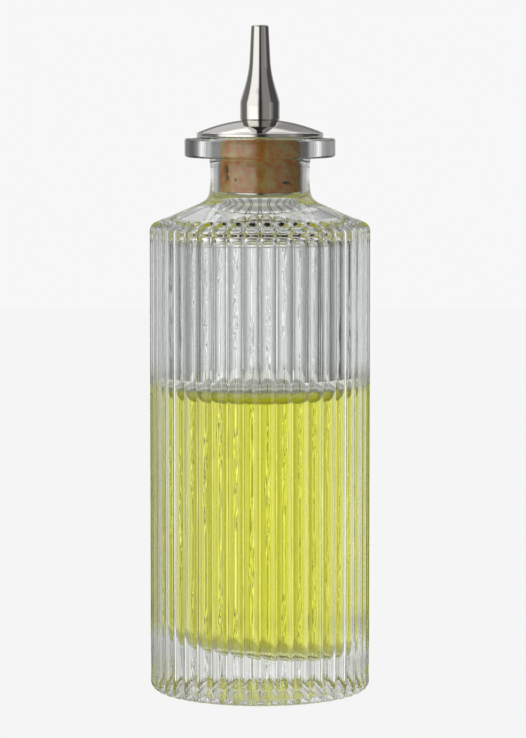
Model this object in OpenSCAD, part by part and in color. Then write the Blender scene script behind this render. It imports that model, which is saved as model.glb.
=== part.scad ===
// Fluted glass dasher bottle, filled with oil, with a polished pourer on a cork.
// Millimetres, +Z up. The origin is on the table, at the centre of the base.

/* [Glass body] */
// Outside diameter over the ribs between the flutes
body_d = 50; // [46:0.5:60]
// Height of the straight side, from the table to the corner of the shoulder
side_h = 104.9; // [90:0.1:140]
// Thickness of the side wall, out to the ribs
wall_t = 6; // [4:0.25:8]
// Radius of the shoulder's corner
corner_r = 2; // [1:0.25:4]
// Slope of the shoulder above level
shoulder_slope = 23.5; // [15:0.5:35]
// Thickness of the glass in the shoulder
shoulder_t = 4.75; // [3:0.25:6]
// Radius inside the shoulder's corner
inner_corner_r = 3; // [2:0.25:7]

/* [Flutes] */
// Number of flutes round the body
flute_count = 42; // [30:1:54]
// Depth of a flute at its middle
flute_depth = 0.9; // [0.3:0.05:1.1]
// Width of the rib left between two flutes
rib_w = 0.4; // [0.2:0.05:0.8]
// How far the flutes run in over the shoulder
flute_run = 3.5; // [2:0.25:5]

/* [Base] */
// Thickness of the floor on the axis
floor_t = 9.75; // [7:0.25:12]
// Fall of the floor towards +X, as blown
floor_tilt = 6; // [0:0.2:7]
// Radius between the floor and the side wall
floor_r = 4.5; // [3:0.25:6]
// Radius of the bottom edge
heel_r = 2; // [1:0.25:2.5]
// Height of the slightly narrower heel
heel_h = 9; // [4:0.5:12]
// How far the heel stands in from the side
heel_in = 0.05; // [0.05:0.05:0.25]
// Width of the ring that the bottle stands on
foot_w = 2; // [1.5:0.25:5]
// Depth of the hollow under the base
punt_h = 3.25; // [0.5:0.25:4]

/* [Neck and lip] */
// Outside diameter where the neck meets its fillets
neck_d = 22.9; // [21.5:0.1:25]
// How far the neck narrows at its waist, on the radius
neck_waist = 0.27; // [0:0.03:0.6]
// Length of the neck between the shoulder's fillet and the lip
neck_len = 7.4; // [5:0.2:12]
// Radius of the fillet between the shoulder and the neck
neck_fillet_r = 3; // [2:0.25:5]
// Radius of the fillet under the lip
lip_fillet_r = 0.8; // [0.4:0.1:1.5]
// Diameter of the lip
lip_d = 34.2; // [31:0.2:40]
// Thickness of the lip
lip_t = 4.7; // [3:0.1:7]
// Radius of the lip's edges
lip_edge_r = 0.7; // [0.3:0.1:1.2]
// Rise of the lip's top from its edge to its seat
lip_crown = 0.3; // [0.1:0.05:0.5]
// Bore of the neck
bore_d = 18.5; // [17:0.1:19.5]
// Radius where the shoulder runs into the bore
bore_fillet_r = 5; // [1:0.25:6]
// Chamfer at the mouth of the bore
mouth_chamfer = 0.4; // [0.2:0.1:0.8]

/* [Oil] */
// Height of the oil above the table
oil_h = 66.6; // [30:0.2:85]
// Gap between the oil and the glass
oil_gap = 0.05; // [0.02:0.01:0.2]

/* [Cork] */
// Length of the cork below the lip's top
cork_len = 12.6; // [9:0.2:15]
// Radial clearance of the cork in the bore
cork_clear = 0.05; // [0.02:0.01:0.09]

/* [Dome cap] */
// Diameter of the cap
dome_d = 28.8; // [25:0.2:30.8]
// Height of the upright rim
rim_h = 0.9; // [0.5:0.1:1.5]
// Height of the domed top above the rim
dome_h = 3.1; // [1.5:0.1:5]

/* [Dasher nozzle] */
// Diameter of the bulb at the foot
bulb_d = 9; // [7.5:0.1:11]
// Height of the bulb's straight side
bulb_h = 4; // [3:0.1:6]
// Diameter where the waist ends and the spout begins
waist_d = 4.8; // [4.2:0.1:6]
// Height of the waist, from the bulb to the spout
waist_h = 9.2; // [7:0.2:14]
// Height of the spout above the waist
spout_h = 8.2; // [5:0.2:14]
// Diameter of the spout's tip
tip_d = 4; // [3.2:0.1:4.2]
// Radius of the tip's edge
tip_edge_r = 0.5; // [0.2:0.05:0.6]
// Diameter of the hole that oil drips from
orifice_d = 1.8; // [0.8:0.1:2.4]
// Length of the hole at that diameter
orifice_len = 4; // [2:0.2:6]
// Radius of the bulb's lower edge
bulb_edge_r = 0.35; // [0.2:0.05:1]
// How much of the bulb's width is left a quarter of the way up the waist
waist_pull_low = 0.9; // [0.8:0.02:0.98]
// How wide the waist is pulled half way up, against its end
waist_pull_high = 1.15; // [1:0.05:1.3]

/* [Stem tube and retaining disc] */
// Outside diameter of the stem tube
stem_d = 5; // [4.2:0.1:6]
// Bore of the stem tube and of the nozzle above it
stem_bore_d = 3; // [2:0.1:3.4]
// How far the tube reaches up into the bulb
socket_h = 3; // [1.5:0.1:3.8]
// Radial clearance round the tube
stem_clear = 0.03; // [0.02:0.01:0.08]
// Diameter of the disc that holds the cork
disc_d = 15.4; // [12:0.2:16.6]
// Thickness of that disc
disc_t = 1.6; // [1:0.1:2.5]
// Radius of the disc's lower edge
disc_edge_r = 0.5; // [0.2:0.1:0.8]

/* [Hidden] */
$fn = 96;
arc_steps = 6;   // straight runs in a rounded corner
curve_steps = 12; // straight runs in the waist of the nozzle

body_r = body_d / 2;
cavity_r = body_r - wall_t;
bore_r = bore_d / 2;
neck_r = neck_d / 2;
lip_r = lip_d / 2;
dome_r = dome_d / 2;
seat_margin = 0.3;  // level seat outside the cap's rim
heel_fade_h = 4;    // height over which the heel widens to the side
past = 1;           // how far a cutter runs past what it cuts

// The shoulder is a cone: its normal, and where it leaves the corner's arc.
slope_n = [sin(shoulder_slope), cos(shoulder_slope)];
corner_c = [body_r - corner_r, side_h];
shoulder_start = corner_c + corner_r * slope_n;

// The inner shoulder lies shoulder_t under the outer one.
inner_cx = cavity_r - inner_corner_r;
inner_cz = shoulder_start.y - inner_corner_r * slope_n.y
    - (shoulder_t + (inner_cx + inner_corner_r * slope_n.x - shoulder_start.x) * slope_n.x) / slope_n.y;
inner_start = [inner_cx, inner_cz] + inner_corner_r * slope_n;

// Heights up the neck.
neck_z = fillet_z(shoulder_start, neck_r, neck_fillet_r);
lip_z = neck_z + neck_len;
top_z = lip_z + lip_t;

// Heights of the pourer's pieces, all measured from the lip's top.
cork_z = top_z - cork_len;
disc_z = cork_z - disc_t;
bulb_r = bulb_d / 2;
dome_ball_r = (dome_r * dome_r + dome_h * dome_h) / (2 * dome_h);
dome_ball_z = top_z + rim_h + dome_h - dome_ball_r;
spot_r = bulb_r + 0.2; // flat on the dome that the bulb stands on
spot_z = dome_ball_z + sqrt(dome_ball_r * dome_ball_r - spot_r * spot_r);
stem_top = spot_z + socket_h;
waist_z = spot_z + bulb_h;
spout_z = waist_z + waist_h;
tip_z = spout_z + spout_h;
hole_r = stem_d / 2 + stem_clear;

// The floor bowl is turned about pivot_z on the axis, and the upright cavity takes over at join_z.
pivot_z = floor_t + floor_r;
join_z = pivot_z + floor_r + 2 * past;
bowl_flare = 15; // degrees that the bowl's side leans out, so that it runs into the side wall

// A flute is cut by a cylinder that meets the body's circle at the edges of the ribs.
flute_half = 180 / flute_count - rib_w / body_d * 180 / PI;
flute_floor_r = body_r - flute_depth;
cutter_r = (flute_floor_r * flute_floor_r + body_r * body_r
            - 2 * flute_floor_r * body_r * cos(flute_half))
    / (2 * (body_r * cos(flute_half) - flute_floor_r));

// Over the shoulder the flute's floor leaves the corner's circle along a straight line at run_turn,
// and comes out of the cone at run_out.
run_out = [body_r - flute_run,
           shoulder_start.y + (shoulder_start.x - body_r + flute_run) * slope_n.x / slope_n.y];
run_circle_r = corner_r - flute_depth;
run_away = norm(run_out - corner_c);
run_turn = atan2(run_out.y - corner_c.y, run_out.x - corner_c.x) - acos(run_circle_r / run_away);
run_len = sqrt(run_away * run_away - run_circle_r * run_circle_r);

// Points along an arc of radius r about c, from angle a to angle b.
function arc(c, r, a, b, steps = arc_steps) =
    [for (i = [0:steps]) let (t = a + (b - a) * i / steps) c + r * [cos(t), sin(t)]];

// Height of the centre of a fillet that joins a cone through point start to a wall of radius r.
function fillet_z(start, r, fillet_r) =
    start.y + (fillet_r - (r + fillet_r - start.x) * slope_n.x) / slope_n.y;

// A cubic curve with ends p[0] and p[3], pulled towards p[1] and p[2].
function bezier(p, steps = curve_steps) =
    [for (i = [0:steps]) let (t = i / steps, s = 1 - t)
        s * s * s * p[0] + 3 * s * s * t * p[1] + 3 * s * t * t * p[2] + t * t * t * p[3]];

// The neck's side, narrowed along a parabola between its two ends.
function neck_side(z0, z1, steps = arc_steps) =
    [for (i = [1:steps - 1]) let (u = 2 * i / steps - 1)
        [neck_r - neck_waist * (1 - u * u), z0 + (z1 - z0) * i / steps]];

// Outside of the glass, from the axis at the table to the axis at the lip's top.
function outer_outline() = concat(
    [[0, 0]],
    arc([body_r - heel_in - heel_r, heel_r], heel_r, -90, 0),
    [[body_r - heel_in, heel_h], [body_r, heel_h + heel_fade_h]],
    arc(corner_c, corner_r, 0, 90 - shoulder_slope),
    arc([neck_r + neck_fillet_r, neck_z], neck_fillet_r, 270 - shoulder_slope, 180),
    neck_side(neck_z, lip_z - lip_fillet_r),
    arc([neck_r + lip_fillet_r, lip_z - lip_fillet_r], lip_fillet_r, 180, 90),
    arc([lip_r - lip_edge_r, lip_z + lip_edge_r], lip_edge_r, -90, 0),
    arc([lip_r - lip_edge_r, top_z - lip_crown - lip_edge_r], lip_edge_r, 0, 90),
    [[dome_r + seat_margin, top_z], [0, top_z]]);

// Hollow of the body, from where it meets the floor bowl to past the mouth.
function cavity_outline() = concat(
    [[0, join_z], [cavity_r, join_z]],
    arc([inner_cx, inner_cz], inner_corner_r, 0, 90 - shoulder_slope),
    arc([bore_r + bore_fillet_r, fillet_z(inner_start, bore_r, bore_fillet_r)],
        bore_fillet_r, 270 - shoulder_slope, 180),
    [[bore_r, top_z - mouth_chamfer], [bore_r + mouth_chamfer + past, top_z + past],
     [0, top_z + past]]);

// The floor bowl upright, with its pivot at the origin, smaller all round by inset.
function bowl_outline(inset) =
    let (side = arc([cavity_r - floor_r, 0], floor_r - inset, -90, -bowl_flare),
         side_len = oil_h + body_r,
         rim = side[arc_steps] + side_len * [sin(bowl_flare), cos(bowl_flare)])
    concat([[0, inset - floor_r]], side, [rim, [0, rim.y]]);

// The tilted floor bowl, trimmed to the side wall and closed at height z1.
module floor_bowl(z1, inset) {
    intersection() {
        translate([0, 0, pivot_z]) rotate([0, floor_tilt, 0])
            rotate_extrude() polygon(bowl_outline(inset));
        cylinder(r = cavity_r - inset, h = z1);
    }
}

// A vertical cylinder for each flute and a leaning one over the shoulder, with a rib facing -Y.
module flute_cutters() {
    run_cutter_r = (body_r - flute_run) * sin(180 / flute_count);
    axis_off = run_circle_r + run_cutter_r;
    for (i = [0:flute_count - 1])
        rotate([0, 0, -90 + 180 / flute_count + i * 360 / flute_count]) {
            translate([flute_floor_r + cutter_r, 0, -past])
                cylinder(r = cutter_r, h = side_h + corner_r + 2 * past);
            translate([corner_c.x + axis_off * cos(run_turn), 0, corner_c.y + axis_off * sin(run_turn)])
                rotate([0, -run_turn, 0]) translate([0, 0, -corner_r - past])
                    cylinder(r = run_cutter_r, h = corner_r + run_len + 2 * past);
        }
}

// Heavy glass: fluted side, sloping shoulder, waisted neck and flat round lip.
module glass_bottle() {
    punt_r = body_r - heel_in - heel_r - foot_w;
    punt_ball_r = (punt_r * punt_r + punt_h * punt_h) / (2 * punt_h);
    color([0.86, 0.9, 0.88, 0.4]) difference() {
        rotate_extrude() difference() {
            polygon(outer_outline());
            translate([0, punt_h - punt_ball_r]) circle(r = punt_ball_r);
        }
        rotate_extrude() polygon(cavity_outline());
        floor_bowl(join_z, 0);
        flute_cutters();
    }
}

// Oil up to its level, just clear of the glass.
module oil_fill() {
    color([0.82, 0.8, 0.16, 0.7]) floor_bowl(oil_h, oil_gap);
}

// Cork plug that fills the neck, bored for the stem tube.
module cork_stopper() {
    color([0.72, 0.53, 0.36]) translate([0, 0, cork_z]) difference() {
        cylinder(r = bore_r - cork_clear, h = cork_len);
        translate([0, 0, -past]) cylinder(r = hole_r, h = cork_len + 2 * past);
    }
}

// Turned cap: level underside, upright rim and a shallow dome with a spot face for the bulb.
module dome_cap() {
    color([0.75, 0.75, 0.73]) difference() {
        rotate_extrude() intersection() {
            translate([0, dome_ball_z]) circle(r = dome_ball_r);
            translate([0, top_z]) square([dome_r, spot_z - top_z]);
        }
        translate([0, 0, top_z - past]) cylinder(r = hole_r, h = spot_z - top_z + 2 * past);
    }
}

// Turned nozzle: bulb, waist, tapering spout, socket for the tube and a fine drip hole.
module dasher_nozzle() {
    throat_r = stem_bore_d / 2;
    orifice_r = orifice_d / 2;
    orifice_z = tip_z - orifice_len;
    funnel_h = 2 * (throat_r - orifice_r);
    waist_r = waist_d / 2;
    waist = [[bulb_r, waist_z], [waist_pull_low * bulb_r, waist_z + waist_h / 4],
             [waist_pull_high * waist_r, waist_z + waist_h / 2], [waist_r, spout_z]];
    outline = concat(
        [[0, spot_z]],
        arc([bulb_r - bulb_edge_r, spot_z + bulb_edge_r], bulb_edge_r, -90, 0),
        bezier(waist),
        arc([tip_d / 2 - tip_edge_r, tip_z - tip_edge_r], tip_edge_r, 0, 90),
        [[0, tip_z]]);
    passage = [[0, spot_z - past], [hole_r, spot_z - past], [hole_r, stem_top],
               [throat_r, stem_top], [throat_r, orifice_z - funnel_h],
               [orifice_r, orifice_z], [orifice_r, tip_z + past], [0, tip_z + past]];
    color([0.8, 0.8, 0.78]) rotate_extrude() difference() {
        polygon(outline);
        polygon(passage);
    }
}

// Tube that carries the oil from below the cork to the nozzle and ties the stack together.
module stem_tube() {
    color([0.7, 0.7, 0.68]) translate([0, 0, disc_z]) difference() {
        cylinder(d = stem_d, h = stem_top - disc_z);
        translate([0, 0, -past]) cylinder(d = stem_bore_d, h = stem_top - disc_z + 2 * past);
    }
}

// Turned disc that clamps the cork from below, with a rounded lower edge.
module retaining_disc() {
    color([0.72, 0.72, 0.7]) rotate_extrude() polygon(concat(
        [[hole_r, disc_z]],
        arc([disc_d / 2 - disc_edge_r, disc_z + disc_edge_r], disc_edge_r, -90, 0),
        [[disc_d / 2, cork_z], [hole_r, cork_z]]));
}

glass_bottle();
oil_fill();
cork_stopper();
dome_cap();
dasher_nozzle();
stem_tube();
retaining_disc();
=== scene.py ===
"""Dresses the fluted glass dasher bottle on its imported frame: glass, oil, cork and polished pourer.

Lengths in the fields below are millimetres unless they say otherwise. Meshes are in metres.
"""

import logging
import math
from dataclasses import dataclass
from enum import Enum

import bpy
import numpy as np
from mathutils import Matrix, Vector


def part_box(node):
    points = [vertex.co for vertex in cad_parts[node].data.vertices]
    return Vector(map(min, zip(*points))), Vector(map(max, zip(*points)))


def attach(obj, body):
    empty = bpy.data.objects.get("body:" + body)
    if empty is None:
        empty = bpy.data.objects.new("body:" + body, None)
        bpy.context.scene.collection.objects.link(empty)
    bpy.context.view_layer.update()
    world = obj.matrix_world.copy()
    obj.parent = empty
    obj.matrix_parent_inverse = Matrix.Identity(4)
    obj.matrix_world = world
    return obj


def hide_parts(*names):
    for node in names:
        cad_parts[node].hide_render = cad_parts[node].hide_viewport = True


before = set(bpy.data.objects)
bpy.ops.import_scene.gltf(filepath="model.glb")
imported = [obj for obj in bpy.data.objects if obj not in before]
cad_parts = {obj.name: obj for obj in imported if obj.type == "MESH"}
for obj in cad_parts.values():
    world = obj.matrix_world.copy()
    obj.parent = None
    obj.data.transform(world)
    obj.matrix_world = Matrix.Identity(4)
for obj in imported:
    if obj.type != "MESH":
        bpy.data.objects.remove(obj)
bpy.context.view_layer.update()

MM = 0.001  # metres in a millimetre
SHARP_ANGLE = 50.0  # degrees between faces past which an edge shades as sharp
log = logging.getLogger("dasher_bottle")


# ---------------------------------------------------------------- surfaces


def arc(
    centre: tuple[float, float], radius: float, start: float, end: float, count: int
) -> np.ndarray:
    """Points of a circular arc: the centre plus the radius turned through evenly spaced angles.

    Args:
        centre: Radius and height of the arc's centre.
        radius: Radius of the arc.
        start: First angle in degrees, from outwards, turning upwards.
        end: Last angle in degrees.
        count: Number of points.

    Returns:
        An array of count rows of radius and height.
    """
    angle = np.radians(np.linspace(start, end, count))
    return np.asarray(centre) + radius * np.stack([np.cos(angle), np.sin(angle)], axis=1)


def line(start: tuple[float, float], end: tuple[float, float], count: int) -> np.ndarray:
    """Evenly spaced points from start to end, both ends left out.

    Args:
        start: Radius and height of the first end.
        end: Radius and height of the other end.
        count: Number of points between the ends.

    Returns:
        An array of count rows of radius and height.
    """
    share = np.linspace(0.0, 1.0, count + 2)[1:-1, None]
    return np.asarray(start) * (1 - share) + np.asarray(end) * share


def smooth_step(value: np.ndarray, low: float, high: float) -> np.ndarray:
    """Cubic ramp 3t squared minus 2t cubed, from 0 at low to 1 at high.

    Args:
        value: Where the ramp is read.
        low: Value where the ramp leaves 0.
        high: Value where the ramp reaches 1.

    Returns:
        The ramp, in the shape of value.
    """
    t = np.clip((value - low) / (high - low), 0.0, 1.0)
    return t * t * (3.0 - 2.0 * t)


def smooth_min(a: np.ndarray, b: np.ndarray | float, blend: float) -> np.ndarray:
    """The lesser of two surfaces, with the edge between them rounded over the blend distance.

    Args:
        a: First surface.
        b: Second surface.
        blend: Difference below which the two run into each other.

    Returns:
        The lesser value, lowered near the edge by a parabola.
    """
    nearness = np.maximum(blend - np.abs(a - b), 0.0) / blend
    return np.minimum(a, b) - nearness * nearness * blend / 4.0


def smooth_max(a: np.ndarray, b: np.ndarray | float, blend: float) -> np.ndarray:
    """The greater of two surfaces, with the edge between them rounded over the blend distance.

    Args:
        a: First surface.
        b: Second surface.
        blend: Difference below which the two run into each other.

    Returns:
        The greater value, raised near the edge by a parabola.
    """
    return -smooth_min(-a, -b, blend)


def turned(
    radius: np.ndarray | float, height: np.ndarray | float, angle: np.ndarray
) -> np.ndarray:
    """Places points round the axis: x and y are the radius times the angle's cosine and sine.

    Args:
        radius: Radii, usually one to a row.
        height: Heights, usually one to a row.
        angle: Angles in radians, usually one to a column.

    Returns:
        The points on the grid that the three span, with x, y and z last.
    """
    x, y = radius * np.cos(angle), radius * np.sin(angle)
    return np.stack(np.broadcast_arrays(x, y, height), axis=-1)


def ripple(
    angle: np.ndarray, height: np.ndarray, waves: tuple[tuple[float, ...], ...]
) -> np.ndarray:
    """Unevenness of hand-worked glass: a sum of cosines that run round the wall and up it.

    Args:
        angle: Angle round the axis, in radians.
        height: Height in millimetres.
        waves: For each wave its depth, its count round the wall, its pitch up it and its phase.

    Returns:
        The outward displacement in millimetres.
    """
    total = np.zeros(np.broadcast(angle, height).shape)
    for depth, count, pitch, phase in waves:
        total += depth * np.cos(count * angle + 2.0 * math.pi * height / pitch + phase)
    return total


def surface_mesh(
    name: str, grids: list[np.ndarray], wrap_rows: bool = False
) -> bpy.types.Object:
    """Makes a closed solid from grids of points, whose columns go once round the axis.

    The grids are stacked end to end. A grid that wraps its rows is a ring. Otherwise the first and
    last rows of all are points on the axis, and each is merged to one pole with a fan of triangles.
    Where a grid is followed by one with fewer columns, each face of the seam takes several points
    of the first and two of the second.

    Args:
        name: Name of the object.
        grids: Arrays of rows by columns by 3, in millimetres.
        wrap_rows: Whether the last row joins the first.

    Returns:
        The object, linked to the scene, with smooth faces that point outwards.
    """
    rings, at = [], 0
    for grid in grids:
        rings.append(at + np.arange(grid.shape[0] * grid.shape[1]).reshape(grid.shape[:2]))
        at += grid.shape[0] * grid.shape[1]
    vertices = np.concatenate([grid.reshape(-1, 3) for grid in grids])
    if wrap_rows:
        rings[0] = np.concatenate([rings[0], rings[0][:1]])
    faces = []
    if not wrap_rows:
        pole, ring = rings[0][0, :1], rings[0][1]
        faces.append(np.stack([np.broadcast_to(pole, ring.shape), np.roll(ring, -1), ring], axis=1))
        rings[0] = rings[0][1:]
        pole_end, rings[-1] = rings[-1][-1, :1], rings[-1][:-1]
    for k, ring in enumerate(rings):
        low, high = ring[:-1], ring[1:]
        quads = np.stack([low, np.roll(low, -1, axis=1), np.roll(high, -1, axis=1), high], axis=-1)
        faces.append(quads.reshape(-1, 4))
        if k + 1 < len(rings):
            fine, coarse = ring[-1], rings[k + 1][0]
            step = fine.size // coarse.size
            along = [np.roll(fine, -j)[::step] for j in range(step + 1)]
            faces.append(np.stack([*along, np.roll(coarse, -1), coarse], axis=1))
    if not wrap_rows:
        ring = rings[-1][-1]
        fan = [np.broadcast_to(pole_end, ring.shape), ring, np.roll(ring, -1)]
        faces.append(np.stack(fan, axis=1))
    corners = np.concatenate([group.ravel() for group in faces])
    sizes = np.concatenate([np.full(len(group), group.shape[1]) for group in faces])
    used, corners = np.unique(corners, return_inverse=True)
    mesh = bpy.data.meshes.new(name)
    mesh.vertices.add(len(used))
    mesh.vertices.foreach_set("co", (vertices[used] * MM).astype(np.float32).ravel())
    mesh.loops.add(len(corners))
    mesh.loops.foreach_set("vertex_index", corners.astype(np.int32))
    mesh.polygons.add(len(sizes))
    mesh.polygons.foreach_set("loop_start", (np.cumsum(sizes) - sizes).astype(np.int32))
    mesh.update(calc_edges=True)
    mesh.validate()
    mesh.polygons.foreach_set("use_smooth", np.ones(len(mesh.polygons), dtype=bool))
    mesh.set_sharp_from_angle(angle=math.radians(SHARP_ANGLE))
    piece = bpy.data.objects.new(name, mesh)
    bpy.context.scene.collection.objects.link(piece)
    return piece


def revolved(name: str, profile: np.ndarray, columns: int) -> bpy.types.Object:
    """Turns a profile, a closed loop clear of the axis, once round the vertical axis.

    Args:
        name: Name of the object.
        profile: Rows of radius and height in millimetres, anticlockwise with the axis on the left.
        columns: Number of steps round the axis.

    Returns:
        The finished object.
    """
    angle = np.arange(columns) * 2.0 * math.pi / columns
    return surface_mesh(name, [turned(profile[:, :1], profile[:, 1:], angle)], wrap_rows=True)


def mark_faces(piece: bpy.types.Object, columns: int, rows: int, name: str) -> None:
    """Marks the last rows of faces of a piece, up to its last pole, for its material to read.

    Args:
        piece: A piece whose first and last rows are poles.
        columns: Number of points in its last rows.
        rows: Number of rows of faces to mark, with the fan round the pole.
        name: Name of the mark, 1 on the marked faces and 0 elsewhere.
    """
    marks = np.zeros(len(piece.data.polygons), dtype=np.float32)
    marks[-rows * columns:] = 1.0
    piece.data.attributes.new(name, "FLOAT", "FACE").data.foreach_set("value", marks)


# ---------------------------------------------------------------- finishes


def linear(hex_colour: str) -> tuple[float, float, float, float]:
    """Turns an sRGB colour such as #D8B48C to linear light, with full alpha.

    Args:
        hex_colour: The colour as # and six hex digits.

    Returns:
        Red, green, blue and alpha.
    """
    parts = [int(hex_colour[i : i + 2], 16) / 255.0 for i in (1, 3, 5)]
    red, green, blue = (c / 12.92 if c <= 0.04045 else ((c + 0.055) / 1.055) ** 2.4 for c in parts)
    return red, green, blue, 1.0


def add_node(
    tree: bpy.types.NodeTree, kind: str, settings: dict | None = None, inputs: dict | None = None
) -> bpy.types.Node:
    """Adds one node, sets its properties and sets or links its inputs.

    Args:
        tree: The node tree.
        kind: The node's bpy type name.
        settings: Property names and values.
        inputs: Input names or numbers, with a value or an output socket for each.

    Returns:
        The node.
    """
    node = tree.nodes.new(kind)
    for key, value in (settings or {}).items():
        setattr(node, key, value)
    for key, value in (inputs or {}).items():
        if isinstance(value, bpy.types.NodeSocket):
            tree.links.new(value, node.inputs[key])
        else:
            node.inputs[key].default_value = value
    return node


def new_material(name: str) -> tuple[bpy.types.Material, bpy.types.NodeTree]:
    """Makes a material that has no nodes yet.

    Args:
        name: Name of the material.

    Returns:
        The material and its node tree.
    """
    made = bpy.data.materials.new(name)
    made.use_nodes = True
    made.node_tree.nodes.clear()
    return made, made.node_tree


def set_ramp(
    node: bpy.types.Node, stops: list[tuple[float, tuple[float, float, float, float]]]
) -> None:
    """Gives a colour ramp its stops.

    Args:
        node: The Color Ramp node.
        stops: Positions from 0 to 1 in order, each with its linear colour.
    """
    ramp = node.color_ramp
    while len(ramp.elements) < len(stops):
        ramp.elements.new(1.0)
    for element, (position, colour) in zip(ramp.elements, stops):
        element.position = position
        element.color = colour


def bend_light(
    tree: bpy.types.NodeTree, mark: str, plain: float, marked: float
) -> bpy.types.NodeSocket:
    """Works out an index of refraction that has one value on plain faces and another on marked.

    Args:
        tree: The material's node tree.
        mark: Name of the mark on the faces.
        plain: Index on the plain faces.
        marked: Index on the marked faces.

    Returns:
        The index: the mark times the difference, plus the plain value.
    """
    read = add_node(tree, "ShaderNodeAttribute",
                    {"attribute_type": "GEOMETRY", "attribute_name": mark})
    index = add_node(tree, "ShaderNodeMath", {"operation": "MULTIPLY_ADD"},
                     {0: read.outputs["Fac"], 1: marked - plain, 2: plain})
    return index.outputs[0]


class Surface(Enum):
    """Names of the finish slots in the record. Nothing in the script uses them."""

    GLASS = "clear_glass"
    OIL = "oil"
    CORK = "cork"
    NICKEL = "polished_metal"
    TUBE = "tube_metal"


@dataclass(frozen=True)
class ClearGlass:
    """Pressed soda-lime glass, fire polished: colourless, sharply mirroring and strongly bending.

    Where oil wets it, light bends by the ratio of the two indices only, so the wall all but goes.
    """

    ior: float = 1.52
    roughness: float = 0.0
    tint: str = "#FCFEFD"

    def material(self) -> bpy.types.Material:
        """Builds the glass as one transmitting shader.

        Returns:
            The material.
        """
        made, tree = new_material("soda_lime_glass")
        shader = add_node(tree, "ShaderNodeBsdfPrincipled", inputs={
            "Base Color": linear(self.tint),
            "Roughness": self.roughness,
            "Transmission Weight": 1.0,
            "IOR": bend_light(tree, "wetted", self.ior, self.ior / GoldenOil.ior),
        })
        add_node(tree, "ShaderNodeOutputMaterial", inputs={"Surface": shader.outputs[0]})
        return made


@dataclass(frozen=True)
class GoldenOil:
    """Cold-pressed seed oil: clear and golden green, because a few millimetres soak up blue light.

    Only its open surface bends light. Elsewhere the glass round it does that for both. Along its
    way, light falls off with e to the minus density times metres times one minus the colour passed.
    """

    ior: float = 1.47
    passed: str = "#FBFA00"
    density: float = 61.0

    def material(self) -> bpy.types.Material:
        """Builds the oil as a clear surface round a plain absorbing volume.

        Returns:
            The material.
        """
        made, tree = new_material("seed_oil")
        shader = add_node(tree, "ShaderNodeBsdfPrincipled", inputs={
            "Base Color": linear("#FFFFFF"),
            "Roughness": 0.0,
            "Transmission Weight": 1.0,
            "IOR": bend_light(tree, "open_surface", 1.0, self.ior),
        })
        volume = add_node(tree, "ShaderNodeVolumeAbsorption",
                          inputs={"Color": linear(self.passed), "Density": self.density})
        add_node(tree, "ShaderNodeOutputMaterial",
                 inputs={"Surface": shader.outputs[0], "Volume": volume.outputs[0]})
        return made


@dataclass(frozen=True)
class PolishedNickel:
    """Nickel plate over turned brass, buffed: a warm grey mirror, softened by fine buffing."""

    colour: str = "#DEDCD6"
    roughness: float = 0.045

    def material(self) -> bpy.types.Material:
        """Builds the metal.

        Returns:
            The material.
        """
        made, tree = new_material("polished_nickel")
        shader = add_node(tree, "ShaderNodeBsdfPrincipled", inputs={
            "Base Color": linear(self.colour), "Metallic": 1.0, "Roughness": self.roughness,
        })
        add_node(tree, "ShaderNodeOutputMaterial", inputs={"Surface": shader.outputs[0]})
        return made


@dataclass(frozen=True)
class NaturalCork:
    """Punched natural cork: a dry, warm brown, clouded with deeper brown, with near black pits. Its
    browns are painted far brighter than cork's own, as painted light for the dim room.
    """

    # Painted light: both browns are much brighter than the cork's own colour, to make up for the dim
    # light on it.
    pale: str = "#FFDA80"
    deep: str = "#FF9830"
    pit: str = "#2A1406"
    cloud_mm: float = 5.0 / 3.0  # size of the clouds of deeper brown
    roughness: float = 0.8

    def material(self) -> bpy.types.Material:
        """Builds the cork's colour and its matt surface.

        Returns:
            The material.
        """
        made, tree = new_material("natural_cork")
        place = add_node(tree, "ShaderNodeTexCoord")
        clouds = add_node(tree, "ShaderNodeTexNoise", inputs={
            "Vector": place.outputs["Object"], "Scale": 1.0 / (self.cloud_mm * MM), "Detail": 4.0,
        })
        brown = add_node(tree, "ShaderNodeValToRGB", inputs={"Fac": clouds.outputs["Fac"]})
        set_ramp(brown, [(0.35, linear(self.deep)), (0.65, linear(self.pale))])
        sunk = add_node(tree, "ShaderNodeAttribute",
                        {"attribute_type": "GEOMETRY", "attribute_name": "sunk"})
        # Inputs 6 and 7 of a colour mix are its colours A and B, and output 2 is its result.
        colour = add_node(tree, "ShaderNodeMix", {"data_type": "RGBA"}, {
            "Factor": sunk.outputs["Fac"], 6: brown.outputs["Color"], 7: linear(self.pit),
        })
        shader = add_node(tree, "ShaderNodeBsdfPrincipled", inputs={
            "Base Color": colour.outputs[2], "Roughness": self.roughness,
        })
        add_node(tree, "ShaderNodeOutputMaterial", inputs={"Surface": shader.outputs[0]})
        return made


def dress(
    piece: bpy.types.Object, material: bpy.types.Material, body: str, node: str
) -> None:
    """Gives a finished piece its material and body, and hides the CAD node it stands for.

    Args:
        piece: The finished piece.
        material: Its material.
        body: The CAD body it rides on.
        node: The CAD node it stands for.
    """
    piece.data.materials.append(material)
    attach(piece, body)
    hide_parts(node)
    log.info("%s: %d faces on %s", piece.name, len(piece.data.polygons), body)


# ---------------------------------------------------------------- the bottle


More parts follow.
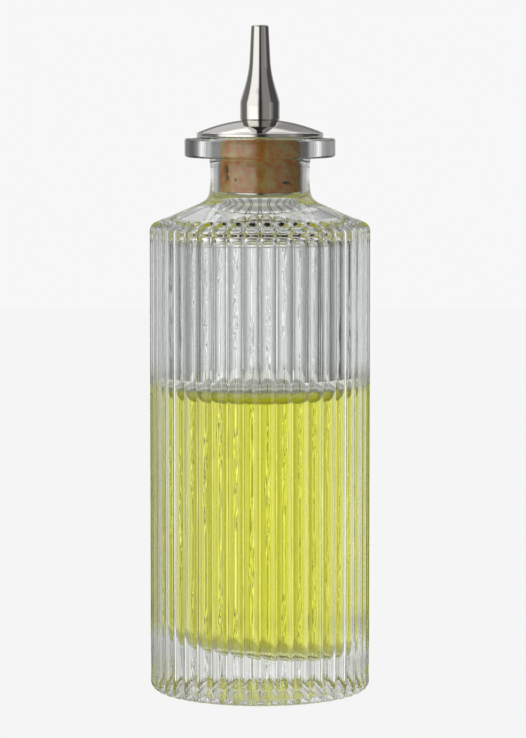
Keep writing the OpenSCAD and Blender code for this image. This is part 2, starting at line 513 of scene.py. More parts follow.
@dataclass
class GlassBottle:
    """The fluted bottle and the oil in it, as a pair of surfaces that share the wall between them.

    Sizes ending in r are radii, h heights, t thicknesses and z heights over the table. The shoulder
    slopes down at slope degrees, and the floor tilts by floor_tilt degrees.
    """

    top_z: float
    body_r: float = 25.0
    side_h: float = 104.9
    wall_t: float = 6.0
    corner_r: float = 2.0
    slope: float = 23.5
    shoulder_t: float = 4.75
    inner_corner_r: float = 3.0
    # The flutes, and the ribs that are left between them.
    flutes: int = 42
    flute_depth: float = 0.9
    flute_power: float = 4.0
    rib_w: float = 0.4
    edge_blend: float = 0.12
    run_out: float = 4.8  # way of a flute over the shoulder, its nose included
    run_clear: float = 0.5  # way past the flutes that keeps their fine rows
    nose: float = 3.0
    # The foot and the floor.
    floor_t: float = 9.75
    floor_tilt: float = 6.0
    floor_r: float = 4.5
    floor_fade_z: float = 24.0
    heel_r: float = 2.0
    heel_lean_end: float = 85.0
    heel_h: float = 9.0
    heel_in: float = 0.05
    heel_fade_h: float = 4.0
    foot_w: float = 2.0
    punt_h: float = 2.4
    # The neck and its lip.
    neck_r: float = 11.45
    neck_waist: float = 0.27
    neck_len: float = 7.4
    neck_fillet_r: float = 3.0
    lip_fillet_r: float = 0.8
    lip_r: float = 17.1
    lip_edge_r: float = 0.7
    lip_crown: float = 0.3
    seat_r: float = 14.7
    bore_r: float = 9.25
    bore_fillet_r: float = 5.0
    mouth_r: float = 0.4
    # The oil, with the capillary length and the contact angle that shape its meniscus.
    oil_h: float = 66.6
    capillary: float = 2.7
    contact_angle: float = 20.0
    oil_overlap: float = 0.05
    lowest_rise: float = 0.02  # in capillary lengths, where the meniscus counts as level
    # Columns, crowded where the flutes bend the most.
    columns_per_flute: int = 12
    inner_columns_per_flute: int = 4
    rib_crowding: float = 0.1
    middle_crowding: float = 0.6
    # Chill creases, with the depths and the lengths of the waves they wander and come and go by.
    crease_depth: float = 0.12
    crease_w: float = 0.14
    crease_seed: int = 7
    crease_wander: tuple[tuple[float, float], ...] = ((0.16, 9.0), (0.09, 4.3))
    crease_beat: tuple[tuple[float, float], ...] = ((1.0, 41.0), (0.6, 13.0), (0.4, 5.7))
    crease_level: float = 0.35
    # Unevenness of the inside, for ripple. It starts at a share of the radius and fades out
    # between two heights over side_h.
    waves: tuple[tuple[float, ...], ...] = (
        (0.10, 2.0, 140.0, 0.4), (0.06, 3.0, 110.0, 1.9), (0.03, 5.0, 90.0, 2.6),
        (0.012, 9.0, 80.0, 4.0), (0.005, 17.0, 70.0, 0.9),
    )
    wave_core: float = 0.4
    wave_fade: tuple[float, float] = (-6.0, 4.0)

    def angles(self, per_flute: int) -> np.ndarray:
        """Angles of the columns, crowded by sines towards ribs and middles, a rib at the front.

        Args:
            per_flute: Number of columns to a flute.

        Returns:
            The angles in radians.
        """
        step = np.arange(self.flutes * per_flute) / per_flute
        turn = 2.0 * math.pi * step
        crowded = (step - self.rib_crowding * np.sin(turn) / (2.0 * math.pi)
                   - self.middle_crowding * np.sin(2.0 * turn) / (4.0 * math.pi))
        return crowded * 2.0 * math.pi / self.flutes - math.pi / 2.0

    def flute_cut(self, angle: np.ndarray, past: np.ndarray) -> np.ndarray:
        """Depth cut by the flutes, which falls off with a power of the way to a flute's edges.

        Past the edges it goes on falling in a straight line. Over the shoulder each flute ends in a
        drawn-out ball nose: the distance from its middle line becomes the root of that distance
        squared plus the scaled way into the nose squared.

        Args:
            angle: Angles of the columns, in radians.
            past: Way gone past the shoulder's corner, in millimetres, 0 below it.

        Returns:
            The depth in millimetres, below zero on the ribs.
        """
        pitch = 2.0 * math.pi / self.flutes
        half = self.body_r * pitch / 2.0 - self.rib_w / 2.0
        off = self.body_r * np.abs(np.mod(angle + math.pi / 2.0, pitch) - pitch / 2.0)
        into = np.maximum(past - (self.run_out - self.nose), 0.0) * half / self.nose
        off = np.hypot(off, into)
        within = np.minimum(off, half)
        edge_slope = self.flute_power * self.flute_depth / half
        bowl = self.flute_depth * (1.0 - (within / half) ** self.flute_power)
        return bowl - edge_slope * (off - within)

    def creases(self, angle: np.ndarray, height: np.ndarray) -> np.ndarray:
        """Chill creases down the middles of the flutes, that come and go.

        A crease is a bell curve across. A sum of cosines of the height moves it sideways, and
        another sum scales it, each flute with phases of its own.

        Args:
            angle: Angles of the columns, in radians.
            height: Heights in millimetres.

        Returns:
            Their depth in millimetres.
        """
        pitch = 2.0 * math.pi / self.flutes
        place = (angle + math.pi / 2.0) / pitch
        which = np.mod(np.floor(place).astype(int), self.flutes)
        rng = np.random.default_rng(self.crease_seed)
        count = len(self.crease_wander) + len(self.crease_beat)
        phases = iter(rng.uniform(0.0, 2.0 * math.pi, (count, self.flutes))[:, which])
        turn = 2.0 * math.pi * height
        off = (place - np.floor(place) - 0.5) * pitch * self.body_r
        for reach, length in self.crease_wander:
            off = off + reach * np.cos(turn / length + next(phases))
        strength = self.crease_level
        for reach, length in self.crease_beat:
            strength = strength + reach * np.cos(turn / length + next(phases))
        bell = np.exp(-((off / self.crease_w) ** 2))
        return self.crease_depth * np.maximum(strength, 0.0) * bell

    def cone_normal(self) -> np.ndarray:
        """Unit normal of the shoulder, as radius and height."""
        angle = math.radians(self.slope)
        return np.array([math.sin(angle), math.cos(angle)])

    def shoulder_start(self) -> np.ndarray:
        """Where the corner's arc ends on the cone of the shoulder, as radius and height."""
        centre = np.array([self.body_r - self.corner_r, self.side_h])
        return centre + self.corner_r * self.cone_normal()

    def fillet_z(self, start: np.ndarray, wall_r: float, fillet_r: float) -> float:
        """Height of the centre of a fillet that joins the cone through a point to an upright wall.

        Args:
            start: A point on the cone.
            wall_r: Radius of the wall.
            fillet_r: Radius of the fillet.

        Returns:
            The height.
        """
        normal = self.cone_normal()
        across = wall_r + fillet_r - start[0]
        return float(start[1] + (fillet_r - across * normal[0]) / normal[1])

    def outer_profile(self) -> np.ndarray:
        """Outside of the glass, from the middle of the base to the mouth.

        The hollow under the base is a shallow cap of a sphere, and the neck's waist is a parabola.

        Returns:
            Rows of radius and height in millimetres.
        """
        heel_out = self.body_r - self.heel_in
        punt_r = heel_out - self.heel_r - self.foot_w
        ball_r = (punt_r**2 + self.punt_h**2) / (2.0 * self.punt_h)
        hollow = np.linspace(0.0, punt_r, 8)
        punt = np.stack([hollow, self.punt_h - ball_r + np.sqrt(ball_r**2 - hollow**2)], axis=1)
        fade_z = self.heel_h + self.heel_fade_h
        neck_z = self.fillet_z(self.shoulder_start(), self.neck_r, self.neck_fillet_r)
        lip_z = neck_z + self.neck_len
        neck_top = lip_z - self.lip_fillet_r
        share = np.linspace(-1.0, 1.0, 9)[1:-1]
        neck = np.stack([self.neck_r - self.neck_waist * (1.0 - share**2),
                         (neck_z + neck_top) / 2.0 + share * (neck_top - neck_z) / 2.0], axis=1)
        neck_arc = arc((self.neck_r + self.neck_fillet_r, neck_z), self.neck_fillet_r,
                       270.0 - self.slope, 180.0, 10)
        corner = arc((self.body_r - self.corner_r, self.side_h), self.corner_r,
                     0.0, 90.0 - self.slope, 12)
        normal = self.cone_normal()
        uphill = np.array([-normal[1], normal[0]])
        run_end = corner[-1] + (self.run_out + self.run_clear - self.corner_r) * uphill
        edge_x = self.lip_r - self.lip_edge_r
        edge_top = self.top_z - self.lip_crown - self.lip_edge_r
        mouth_x = self.bore_r + self.mouth_r
        return np.concatenate([
            punt,
            line((punt_r, 0.0), (heel_out - self.heel_r, 0.0), 1),
            arc((heel_out - self.heel_r, self.heel_r), self.heel_r, -90.0, 0.0, 12),
            line((heel_out, self.heel_r), (heel_out, self.heel_h), 5),
            line((heel_out, self.heel_h), (self.body_r, fade_z), 3),
            line((self.body_r, fade_z), (self.body_r, self.side_h), 58),
            corner,
            line(tuple(corner[-1]), tuple(run_end), 20),
            line(tuple(run_end), tuple(neck_arc[0]), 4),
            neck_arc,
            neck,
            arc((self.neck_r + self.lip_fillet_r, neck_top), self.lip_fillet_r, 180.0, 90.0, 6),
            line((self.neck_r + self.lip_fillet_r, lip_z), (edge_x, lip_z), 1),
            arc((edge_x, lip_z + self.lip_edge_r), self.lip_edge_r, -90.0, 0.0, 6),
            arc((edge_x, edge_top), self.lip_edge_r, 0.0, 90.0, 6),
            [[self.seat_r, self.top_z]],
            line((self.seat_r, self.top_z), (mouth_x, self.top_z), 1),
            arc((mouth_x, self.top_z - self.mouth_r), self.mouth_r, 90.0, 180.0, 5),
        ])

    def inner_profile(self) -> np.ndarray:
        """Inside of the glass, from the bore down to the middle of the floor.

        Returns:
            Rows of radius and height in millimetres.
        """
        cavity_r = self.body_r - self.wall_t
        normal = self.cone_normal()
        under = self.shoulder_start() - self.shoulder_t * normal
        centre_x = cavity_r - self.inner_corner_r
        touch_x = centre_x + self.inner_corner_r * normal[0]
        touch_z = under[1] - (touch_x - under[0]) * normal[0] / normal[1]
        centre_z = touch_z - self.inner_corner_r * normal[1]
        corner = arc((centre_x, centre_z), self.inner_corner_r, 90.0 - self.slope, 0.0, 11)
        bore_z = self.fillet_z(corner[0], self.bore_r, self.bore_fillet_r)
        bore_arc = arc((self.bore_r + self.bore_fillet_r, bore_z), self.bore_fillet_r,
                       180.0, 270.0 - self.slope, 9)
        round_x, round_z = cavity_r - self.floor_r, self.floor_t + self.floor_r
        return np.concatenate([
            line((self.bore_r, self.top_z - self.mouth_r), (self.bore_r, bore_z), 3),
            bore_arc,
            line(tuple(bore_arc[-1]), tuple(corner[0]), 5),
            corner,
            line((cavity_r, centre_z), (cavity_r, self.contact_z()), 14),
            line((cavity_r, self.contact_z()), (cavity_r, round_z), 20),
            arc((round_x, round_z), self.floor_r, 0.0, -90.0, 10),
            line((round_x, self.floor_t), (0.0, self.floor_t), 6),
            [[0.0, self.floor_t]],
        ])

    def climb(self) -> float:
        """Rise of the meniscus, in capillary lengths: twice the sine of half its slope there."""
        return 2.0 * math.sin(math.radians(90.0 - self.contact_angle) / 2.0)

    def contact_z(self) -> float:
        """Height where the oil's meniscus meets the wall."""
        return self.oil_h + self.capillary * self.climb()

    def worked(self, radius: np.ndarray, height: np.ndarray, angle: np.ndarray) -> np.ndarray:
        """Places points of the inside wall with its unevenness and the fall of its floor.

        The radius gains the ripple, which fades out at the bore and the axis. The height loses the
        floor's fall times x, which fades out with a smooth step up the wall.

        Args:
            radius: Radii in millimetres.
            height: Heights in millimetres.
            angle: Angles in radians.

        Returns:
            The points, with x, y and z last.
        """
        cavity_r = self.body_r - self.wall_t
        start, end = self.side_h + self.wave_fade[0], self.side_h + self.wave_fade[1]
        share = smooth_step(radius, self.wave_core * cavity_r, cavity_r)
        share = share * (1.0 - smooth_step(height, start, end))
        points = turned(radius + share * ripple(angle, height, self.waves), height, angle)
        fall = math.tan(math.radians(self.floor_tilt))
        fall = fall * (1.0 - smooth_step(height, self.floor_t, self.floor_fade_z))
        points[..., 2] -= fall * points[..., 0]
        return points

    def flute_share(self, outer: np.ndarray, run: np.ndarray) -> np.ndarray:
        """How much of the flutes' depth each row of the outer profile keeps round the bottom edge.

        The share is one minus the fourth power of the row's lean over the lean that ends a flute.

        Args:
            outer: The profile, as radius and height.
            run: Unit directions along it.

        Returns:
            The shares, from 0 on the foot to 1 up the side.
        """
        lean = np.degrees(np.arctan2(run[:, 0], run[:, 1])) / self.heel_lean_end
        share = np.clip(1.0 - lean**4, 0.0, 1.0)
        return np.where(outer[:, 1] < self.heel_r, share, 1.0)

    def build_glass(self) -> bpy.types.Object:
        """The glass as one closed surface, whose flutes sink in along the envelope's normal.

        Returns:
            The piece, its faces under the oil marked as wetted.
        """
        angle = self.angles(self.columns_per_flute)[None, :]
        outer = self.outer_profile()
        run = np.gradient(outer, axis=0)
        run /= np.linalg.norm(run, axis=1, keepdims=True)
        way = np.cumsum(np.linalg.norm(np.diff(outer, axis=0, prepend=outer[:1]), axis=1))
        corner = int(np.argmax(outer[:, 1] >= self.side_h - 1e-6))
        past = (way - way[corner])[:, None]
        cut = smooth_max(self.flute_cut(angle, np.maximum(past, 0.0)), 0.0, self.edge_blend)
        cut = np.where(past > self.run_out, 0.0, cut * self.flute_share(outer, run)[:, None])
        creased = smooth_step(outer[:, 1:], self.heel_r, self.heel_h)
        creased = creased * (1.0 - smooth_step(past, 0.0, 1.0))
        cut = cut + creased * self.creases(angle, outer[:, 1:])
        radius = outer[:, :1] - cut * run[:, 1:]
        height = outer[:, 1:] + cut * run[:, :1]
        radius[0] = 0.0
        outside = turned(radius, height, angle)
        inner = self.inner_profile()
        inside = self.worked(inner[:, :1], inner[:, 1:], self.angles(self.inner_columns_per_flute))
        shell = surface_mesh("glass_shell", [outside, inside])
        contact = int(np.argmin(np.abs(inner[:, 1] - self.contact_z())))
        mark_faces(shell, inside.shape[1], len(inner) - 1 - contact, "wetted")
        return shell

    def build_oil(self) -> bpy.types.Object:
        """The oil, reaching a hair into the glass, with the meniscus of its capillary length.

        At a height z above the level, in capillary lengths, the surface stands off the wall by
        arcosh(2 / z) minus the root of 4 minus z squared, counted from where it meets the wall.

        Returns:
            The piece, the faces of its top marked as open_surface.
        """
        cavity_r = self.body_r - self.wall_t
        edge = cavity_r + self.oil_overlap
        rise = np.geomspace(self.climb(), self.lowest_rise, 30)
        off = np.arccosh(2.0 / rise) - np.sqrt(4.0 - rise**2)
        off = self.capillary * (off - off[0])
        meniscus = np.stack([edge - off, self.oil_h + self.capillary * rise], axis=1)
        bottom_z = self.floor_t - self.oil_overlap
        round_x, round_z = cavity_r - self.floor_r, self.floor_t + self.floor_r
        profile = np.concatenate([
            [[0.0, bottom_z]],
            line((0.0, bottom_z), (round_x, bottom_z), 5),
            arc((round_x, round_z), self.floor_r + self.oil_overlap, -90.0, 0.0, 10),
            line((edge, round_z), tuple(meniscus[0]), 20),
            meniscus,
            line(tuple(meniscus[-1]), (0.0, self.oil_h), 4),
            [[0.0, self.oil_h]],
        ])
        angle = self.angles(self.inner_columns_per_flute)
        body = surface_mesh("oil_body", [self.worked(profile[:, :1], profile[:, 1:], angle)])
        highest = int(np.argmax(profile[:, 1]))
        mark_faces(body, angle.size, len(profile) - 1 - highest, "open_surface")
        return body

    def build(self) -> None:
        """Builds and dresses the glass and the oil."""
        dress(self.build_glass(), ClearGlass().material(), "bottle", "glass_bottle")
        dress(self.build_oil(), GoldenOil().material(), "bottle", "oil_fill")


# ---------------------------------------------------------------- the stopper


@dataclass
class Stopper:
    """The cork and the turned metal pieces clamped to it, stacked from the lip's top."""

    top_z: float
    cork_len: float
    cork_r: float
    dome_r: float
    disc_r: float
    disc_t: float
    tip_z: float
    columns: int = 160
    # The cap. Its rim's upper edge turns by rim_turn degrees before it meets the dome.
    rim_h: float = 0.9
    rim_turn: float = 78.0
    rim_lift: float = 0.05
    dome_h: float = 3.1
    edge_r: float = 0.25
    # The nozzle, from its bulb up to the drip hole.
    bulb_r: float = 4.5
    bulb_h: float = 4.0
    bulb_edge_r: float = 0.35
    bulb_sink: float = 0.2  # how far outside the bulb the dome is as high as the bulb's foot
    waist_r: float = 2.4
    waist_h: float = 9.2
    bulb_pull: float = 0.9  # share of the bulb's radius that the waist's curve leaves for
    waist_pull: float = 1.15  # share of the waist's radius that it comes in from
    tip_r: float = 2.0
    tip_edge_r: float = 0.5
    orifice_r: float = 0.9
    orifice_len: float = 4.0
    orifice_edge_r: float = 0.2
    throat_r: float = 1.5
    throat_cone_h: float = 1.2
    # The tube, and the hole for it in the cap, the cork and the disc.
    stem_r: float = 2.5
    hole_r: float = 2.53
    disc_low_r: float = 0.5
    disc_high_r: float = 0.2
    # The cork and its pits. Each pit in front has its angle in radians, its height and its half
    # width and half height. The stray ones are strewn over an arc in degrees.
    cork_edge_r: float = 0.3
    cork_rim: float = 0.5
    cork_columns: int = 360
    pit_depth: float = 0.75
    pit_seed: int = 3
    front_pits: tuple[tuple[float, float, float, float], ...] = (
        (-2.44, 118.9, 0.55, 0.9), (-2.42, 117.1, 0.50, 0.8), (-2.16, 116.6, 0.26, 0.4),
        (-0.90, 115.9, 1.05, 0.36), (-2.46, 123.2, 0.30, 0.6),
    )
    stray_pits: int = 16
    stray_arc: tuple[float, float] = (-30.0, 210.0)
    stray_inset: tuple[float, float] = (1.5, 1.0)
    stray_half_w: tuple[float, float] = (0.2, 0.5)
    stray_half_h: tuple[float, float] = (0.2, 0.9)
    raggedness: float = 0.35

    def dome_height(self, radius: np.ndarray) -> np.ndarray:
        """Heights of the cap's dome at some radii: a shallow part of a sphere over the rim."""
        ball = (self.dome_r**2 + self.dome_h**2) / (2.0 * self.dome_h)
        return self.top_z + self.rim_h + self.dome_h - ball + np.sqrt(ball**2 - radius**2)

    def bulb_foot(self) -> float:
        """Height of the bulb's foot, where it seats in the dome."""
        return float(self.dome_height(np.array(self.bulb_r + self.bulb_sink)))

    def build_cap(self) -> bpy.types.Object:
        """The cap: level underside, softened rim and the dome, round the hole for the tube.

        Returns:
            The piece.
        """
        rim_x = self.dome_r - self.edge_r
        rim_z = self.top_z + self.rim_h - self.edge_r + self.rim_lift
        radius = np.linspace(rim_x, self.hole_r, 30)
        dome = np.stack([radius, self.dome_height(radius)], axis=1)
        profile = np.concatenate([
            [[self.hole_r, self.top_z]],
            line((self.hole_r, self.top_z), (rim_x, self.top_z), 2),
            arc((rim_x, self.top_z + self.edge_r), self.edge_r, -90.0, 0.0, 6),
            arc((rim_x, rim_z), self.edge_r, 0.0, self.rim_turn, 6),
            dome[1:],
        ])
        return revolved("cap_dome", profile, self.columns)

    def build_nozzle(self) -> bpy.types.Object:
        """The nozzle: a bulb, a waist, a tapering spout and the drip hole.

        The waist is a cubic Bezier curve: its four points weighted by the terms of 1 - t plus t,
        cubed, as t runs from 0 to 1.

        Returns:
            The piece.
        """
        seat = self.bulb_foot()
        waist_z = seat + self.bulb_h
        spout_z = waist_z + self.waist_h
        leave, enter = self.bulb_pull * self.bulb_r, self.waist_pull * self.waist_r
        pull = np.array([[self.bulb_r, waist_z], [leave, waist_z + self.waist_h / 4.0],
                         [enter, waist_z + self.waist_h / 2.0], [self.waist_r, spout_z]])
        t = np.linspace(0.0, 1.0, 40)[:, None]
        weights = np.hstack([(1 - t) ** 3, 3 * (1 - t) ** 2 * t, 3 * (1 - t) * t**2, t**3])
        waist = weights @ pull
        edge_x, edge_z = self.tip_r - self.tip_edge_r, self.tip_z - self.tip_edge_r
        hole = (self.orifice_r + self.orifice_edge_r, self.tip_z - self.orifice_edge_r)
        hole_end = self.tip_z - self.orifice_len
        profile = np.concatenate([
            [[self.throat_r, seat]],
            arc((self.bulb_r - self.bulb_edge_r, seat + self.bulb_edge_r), self.bulb_edge_r,
                -90.0, 0.0, 7),
            line((self.bulb_r, seat + self.bulb_edge_r), (self.bulb_r, waist_z), 3),
            waist,
            line(tuple(waist[-1]), (self.tip_r, edge_z), 6),
            arc((edge_x, edge_z), self.tip_edge_r, 0.0, 90.0, 8),
            arc(hole, self.orifice_edge_r, 90.0, 180.0, 5),
            [[self.orifice_r, hole_end], [self.throat_r, hole_end - self.throat_cone_h]],
        ])
        return revolved("drip_nozzle", profile, self.columns)

    def pit_share(self, angle: np.ndarray, height: np.ndarray) -> np.ndarray:
        """How deep the cork's side lies in its pits: each is a flat-bottomed bell over an oval.

        The bell is e to the minus fourth power of the way from the oval's middle, in half widths
        and half heights, with the way made ragged by a product of two cosines.

        Args:
            angle: Angles round the cork, in radians.
            height: Heights in millimetres.

        Returns:
            The share of the pits' depth, from 0 to 1.
        """
        rng = np.random.default_rng(self.pit_seed)
        low = self.top_z - self.cork_len + self.stray_inset[0]
        high = self.top_z - self.stray_inset[1]
        spans = (np.radians(self.stray_arc), (low, high), self.stray_half_w, self.stray_half_h)
        stray = np.stack([rng.uniform(*span, self.stray_pits) for span in spans], axis=1)
        deepest = np.zeros(np.broadcast(angle, height).shape)
        for turn, middle, half_w, half_h in np.concatenate([np.array(self.front_pits), stray]):
            off = np.mod(angle - turn + math.pi, 2.0 * math.pi) - math.pi
            ragged = np.cos(5.0 * height + 7.0 * turn) * np.cos(11.0 * angle)
            oval = (off * self.cork_r / half_w) ** 2 + ((height - middle) / half_h) ** 2
            oval = oval * (1.0 + self.raggedness * ragged)
            deepest = np.maximum(deepest, np.exp(-(oval**2)))
        return deepest

    def build_cork(self) -> bpy.types.Object:
        """The cork plug round the tube, pitted, with a mark of how deep each point has sunk.

        Returns:
            The piece.
        """
        low, high = self.top_z - self.cork_len, self.top_z
        edge, rim = self.cork_edge_r, self.cork_rim
        profile = np.concatenate([
            [[self.hole_r, low]],
            arc((self.cork_r - edge, low + edge), edge, -90.0, 0.0, 5),
            line((self.cork_r, low + edge), (self.cork_r, high), 60),
            [[self.cork_r, high], [self.hole_r, high]],
        ])
        angle = np.arange(self.cork_columns) * 2.0 * math.pi / self.cork_columns
        radius, height = profile[:, :1], profile[:, 1:]
        side = smooth_step(height, low + edge, low + edge + rim)
        side = side * (1.0 - smooth_step(height, high - edge - rim, high - edge))
        sunk = self.pit_share(angle, height) * side * (radius > self.cork_r - 0.01)
        points = turned(radius - self.pit_depth * sunk, height, angle)
        plug = surface_mesh("cork_plug", [points], wrap_rows=True)
        mark = plug.data.attributes.new("sunk", "FLOAT", "POINT")
        mark.data.foreach_set("value", sunk.astype(np.float32).ravel())
        return plug

    def build_disc(self) -> bpy.types.Object:
        """The disc under the cork, with rounded edges.

        Returns:
            The piece.
        """
        high = self.top_z - self.cork_len
        low = high - self.disc_t
        below, above = self.disc_low_r, self.disc_high_r
        profile = np.concatenate([
            [[self.hole_r, low]],
            arc((self.disc_r - below, low + below), below, -90.0, 0.0, 8),
            arc((self.disc_r - above, high - above), above, 0.0, 90.0, 5),
            [[self.hole_r, high]],
        ])
        return revolved("clamp_disc", profile, self.columns)

    def build_tube(self) -> bpy.types.Object:
        """The tube from the disc up into the bulb.

        Returns:
            The piece.
        """
        low, high = self.top_z - self.cork_len - self.disc_t, self.bulb_foot()
        profile = np.array([[self.throat_r, low], [self.stem_r, low],
                            [self.stem_r, high], [self.throat_r, high]])
        return revolved("inner_tube", profile, self.columns // 2)

    def build(self) -> None:
        """Builds and dresses the pieces of the stopper."""
        nickel = PolishedNickel().material()
        dress(self.build_cap(), nickel, "stopper", "dome_cap")
        dress(self.build_nozzle(), nickel, "stopper", "dasher_nozzle")
        dress(self.build_disc(), nickel, "stopper", "retaining_disc")
        dress(self.build_tube(), nickel, "stopper", "stem_tube")
        dress(self.build_cork(), NaturalCork().material(), "stopper", "cork_stopper")


# ---------------------------------------------------------------- the studio


@dataclass(frozen=True)
class SoftPanel:
    """A bright patch of the room with blurred edges.

    Its heading is the compass direction of its middle in degrees: 0 is the camera's side, 90 the
    right and 180 behind. Its half width and its low and high edges are degrees too, its level is
    its brightness, side_blur is a share of the half width and height_blur a difference of sines.
    """

    heading: float
    half_width: float
    low: float
    high: float
    level: float
    side_blur: float = 0.25
    height_blur: float = 0.04

    def share(self, tree: bpy.types.NodeTree, heading: bpy.types.NodeSocket,
              height: bpy.types.NodeSocket) -> bpy.types.NodeSocket:
        """How far a direction lies inside the panel: the product of one smooth ramp for each edge.

        Args:
            tree: The world's node tree.
            heading: Level unit vector of the direction.
            height: Sine of its height over the horizon.

        Returns:
            The share, from 0 outside to 1 inside.
        """
        turn = math.radians(self.heading)
        middle = (math.sin(turn), -math.cos(turn), 0.0)
        near = add_node(tree, "ShaderNodeVectorMath", {"operation": "DOT_PRODUCT"},
                        {0: heading, 1: middle})
        outer = math.cos(math.radians(self.half_width * (1.0 + self.side_blur)))
        inner = math.cos(math.radians(self.half_width * (1.0 - self.side_blur)))
        low, high = math.sin(math.radians(self.low)), math.sin(math.radians(self.high))
        blur = self.height_blur
        product = None
        for value, start, end in ((near.outputs["Value"], outer, inner),
                                  (height, low - blur, low + blur),
                                  (height, high + blur, high - blur)):
            ramp = add_node(tree, "ShaderNodeMapRange", {"interpolation_type": "SMOOTHSTEP"},
                            {"Value": value, "From Min": start, "From Max": end}).outputs["Result"]
            product = ramp if product is None else add_node(
                tree, "ShaderNodeMath", {"operation": "MULTIPLY"}, {0: product, 1: ramp}).outputs[0]
        return product


@dataclass(frozen=True)
class Studio:
    """A pale sweep in a dim room, with a soft light at the left and others behind and above.

    Levels are linear brightness, and lengths here are metres.
    """

    backdrop: float = 0.93
    # Painted shadow: the glow of the disc that stands for the table in the bottle's own shadow, seen
    # only through the glass.
    under: float = 0.40
    room: float = 0.03
    panels: tuple[SoftPanel, ...] = (
        SoftPanel(180.0, 4.0, -14.0, 8.0, 0.30),
        SoftPanel(180.0, 12.0, -14.0, 8.0, 0.40),
        SoftPanel(-163.0, 7.0, -20.0, 15.0, 0.31),
        SoftPanel(163.0, 7.0, -20.0, 15.0, 0.15),
        SoftPanel(180.0, 44.0, -35.0, 15.0, 0.36),
        SoftPanel(-158.0, 22.0, 18.0, 45.0, 0.62),
        SoftPanel(171.0, 8.0, 18.0, 45.0, 0.28),
        SoftPanel(147.0, 17.0, 18.0, 45.0, 0.70),
        SoftPanel(180.0, 60.0, -87.0, -30.0, 0.24),
        SoftPanel(0.0, 100.0, -87.0, -30.0, 0.11),
        SoftPanel(-130.0, 60.0, 38.0, 87.0, 0.91),
        SoftPanel(110.0, 60.0, 38.0, 87.0, 0.28),
        SoftPanel(-45.0, 34.0, -14.0, 35.0, 1.04),
        SoftPanel(-38.0, 26.0, -13.0, -1.0, 0.30),
        SoftPanel(-80.0, 68.0, -35.0, 38.0, 0.15),
        SoftPanel(42.0, 28.0, -35.0, 38.0, 0.20),
        SoftPanel(70.0, 14.0, -20.0, 12.0, 0.11),
        SoftPanel(90.0, 75.0, -35.0, 38.0, 0.05),
    )
    camera_distance: float = 0.806
    camera_height: float = 0.146
    pitch: float = 5.149
    side_step: float = 0.00069
    focal_px: float = 3559.0
    image_h: float = 738.0
    sensor_mm: float = 36.0
    view_end: float = 20.0
    floor_r: float = 1.2
    floor_drop: float = 0.0001
    floor_grey: float = 0.9
    floor_glow: float = 0.97  # share of the backdrop's own light in the floor that is seen
    patch_r: float = 0.03
    patch_drop: float = 0.0003
    disc_sides: int = 96
    bounces: int = 48

    def build_world(self) -> None:
        """Lights the object from all round: a dim room and the sum of its soft panels."""
        world = bpy.data.worlds.new("studio")
        bpy.context.scene.world = world
        world.use_nodes = True
        tree = world.node_tree
        tree.nodes.clear()
        place = add_node(tree, "ShaderNodeTexCoord").outputs["Generated"]
        level = add_node(tree, "ShaderNodeVectorMath", {"operation": "MULTIPLY"},
                         {0: place, 1: (1.0, 1.0, 0.0)})
        heading = add_node(tree, "ShaderNodeVectorMath", {"operation": "NORMALIZE"},
                           {0: level.outputs[0]})
        height = add_node(tree, "ShaderNodeSeparateXYZ", inputs={0: place}).outputs["Z"]
        total = add_node(tree, "ShaderNodeValue")
        total.outputs[0].default_value = self.room
        for panel in self.panels:
            share = panel.share(tree, heading.outputs[0], height)
            total = add_node(tree, "ShaderNodeMath", {"operation": "MULTIPLY_ADD"},
                             {0: share, 1: panel.level, 2: total.outputs[0]})
        seen = add_node(tree, "ShaderNodeLightPath")
        # Inputs 2 and 3 of a mix of values are A and B.
        plain = add_node(tree, "ShaderNodeMix", inputs={
            "Factor": seen.outputs["Is Camera Ray"], 2: total.outputs[0], 3: self.backdrop,
        })
        glow = add_node(tree, "ShaderNodeBackground",
                        inputs={"Color": plain.outputs[0], "Strength": 1.0})
        add_node(tree, "ShaderNodeOutputWorld", inputs={"Surface": glow.outputs[0]})

    def build_floor(self) -> None:
        """A pale floor that keeps the soft shadow, and a painted shadow of the table under the
        bottle: a dim glowing disc that shows only through the glass.
        """
        floor = self.disc("floor", self.floor_r, -self.floor_drop)
        floor.visible_transmission = False
        floor.visible_glossy = False
        made, tree = new_material("pale_floor")
        seen = add_node(tree, "ShaderNodeLightPath")
        matt = add_node(tree, "ShaderNodeBsdfDiffuse", inputs={"Color": self.grey(self.floor_grey)})
        glow = add_node(tree, "ShaderNodeEmission",
                        inputs={"Color": self.grey(self.backdrop), "Strength": 1.0})
        share = add_node(tree, "ShaderNodeMath", {"operation": "MULTIPLY"},
                         {0: seen.outputs["Is Camera Ray"], 1: self.floor_glow})
        mix = add_node(tree, "ShaderNodeMixShader",
                       inputs={0: share.outputs[0], 1: matt.outputs[0], 2: glow.outputs[0]})
        add_node(tree, "ShaderNodeOutputMaterial", inputs={"Surface": mix.outputs[0]})
        floor.data.materials.append(made)
        # Painted shadow: a disc hidden from the camera glows at the level under, standing for the
        # table darkened by the bottle's shadow.
        patch = self.disc("painted_table_shadow", self.patch_r, -self.patch_drop)
        patch.visible_camera = False
        made, tree = new_material("painted_table_shadow")
        glow = add_node(tree, "ShaderNodeEmission",
                        inputs={"Color": self.grey(self.under), "Strength": 1.0})
        add_node(tree, "ShaderNodeOutputMaterial", inputs={"Surface": glow.outputs[0]})
        patch.data.materials.append(made)

    @staticmethod
    def grey(level: float) -> tuple[float, float, float, float]:
        """A neutral colour of one linear level, with full alpha."""
        return level, level, level, 1.0

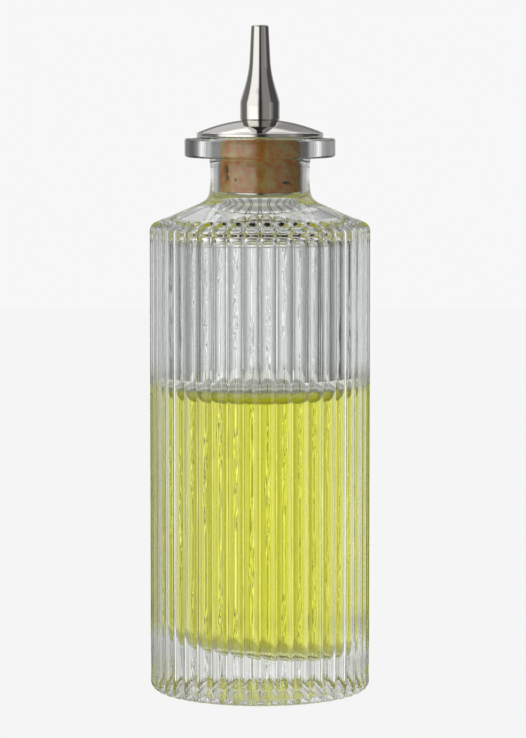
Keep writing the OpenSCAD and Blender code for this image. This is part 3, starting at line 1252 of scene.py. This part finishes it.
    def disc(self, name: str, radius: float, height: float) -> bpy.types.Object:
        """Makes a level round disc, staged and not part of the object.

        Args:
            name: Name of the disc.
            radius: Its radius in metres.
            height: Its height in metres.

        Returns:
            The disc.
        """
        angle = np.linspace(0.0, 2.0 * math.pi, self.disc_sides, endpoint=False)
        mesh = bpy.data.meshes.new(name)
        edge = turned(radius, height, angle).tolist()
        mesh.from_pydata(edge, [], [tuple(range(self.disc_sides))])
        piece = bpy.data.objects.new(name, mesh)
        bpy.context.scene.collection.objects.link(piece)
        return piece

    def build_camera(self) -> None:
        """A long lens just above the cap's height, tipped down at the middle of the bottle."""
        data = bpy.data.cameras.new("camera")
        data.sensor_width = self.sensor_mm
        data.lens = self.sensor_mm * self.focal_px / self.image_h
        data.clip_end = self.view_end
        camera = bpy.data.objects.new("camera", data)
        bpy.context.scene.collection.objects.link(camera)
        camera.location = (0.0, -self.camera_distance, self.camera_height)
        drop = self.camera_distance * math.tan(math.radians(self.pitch))
        aim = Vector((self.side_step, 0.0, self.camera_height - drop))
        camera.rotation_euler = (aim - camera.location).to_track_quat("-Z", "Y").to_euler()
        bpy.context.scene.camera = camera

    def build(self) -> None:
        """Builds the floor, the light and the camera, and lets light pass many glass walls."""
        self.build_world()
        self.build_floor()
        self.build_camera()
        scene = bpy.context.scene
        scene.view_settings.view_transform = "Standard"
        scene.cycles.max_bounces = self.bounces
        scene.cycles.transmission_bounces = self.bounces
        scene.cycles.glossy_bounces = self.bounces // 2


def millimetres(node: str) -> tuple[np.ndarray, np.ndarray]:
    """Lowest and highest corner of a CAD node, in millimetres.

    Args:
        node: The node's name.

    Returns:
        The two corners.
    """
    low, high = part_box(node)
    return np.array(low) / MM, np.array(high) / MM


def main() -> None:
    """Builds the bottle, its stopper and the studio, in that order."""
    logging.basicConfig(level=logging.INFO, format="%(name)s %(message)s")
    _, glass = millimetres("glass_bottle")
    cork_low, cork = millimetres("cork_stopper")
    disc_low, disc = millimetres("retaining_disc")
    _, dome = millimetres("dome_cap")
    _, nozzle = millimetres("dasher_nozzle")
    GlassBottle(top_z=float(glass[2])).build()
    Stopper(
        top_z=float(glass[2]),
        cork_len=float(cork[2] - cork_low[2]),
        cork_r=float(cork[0]),
        dome_r=float(dome[0]),
        disc_r=float(disc[0]),
        disc_t=float(disc[2] - disc_low[2]),
        tip_z=float(nozzle[2]),
    ).build()
    Studio().build()


if __name__ == "__main__":
    main()
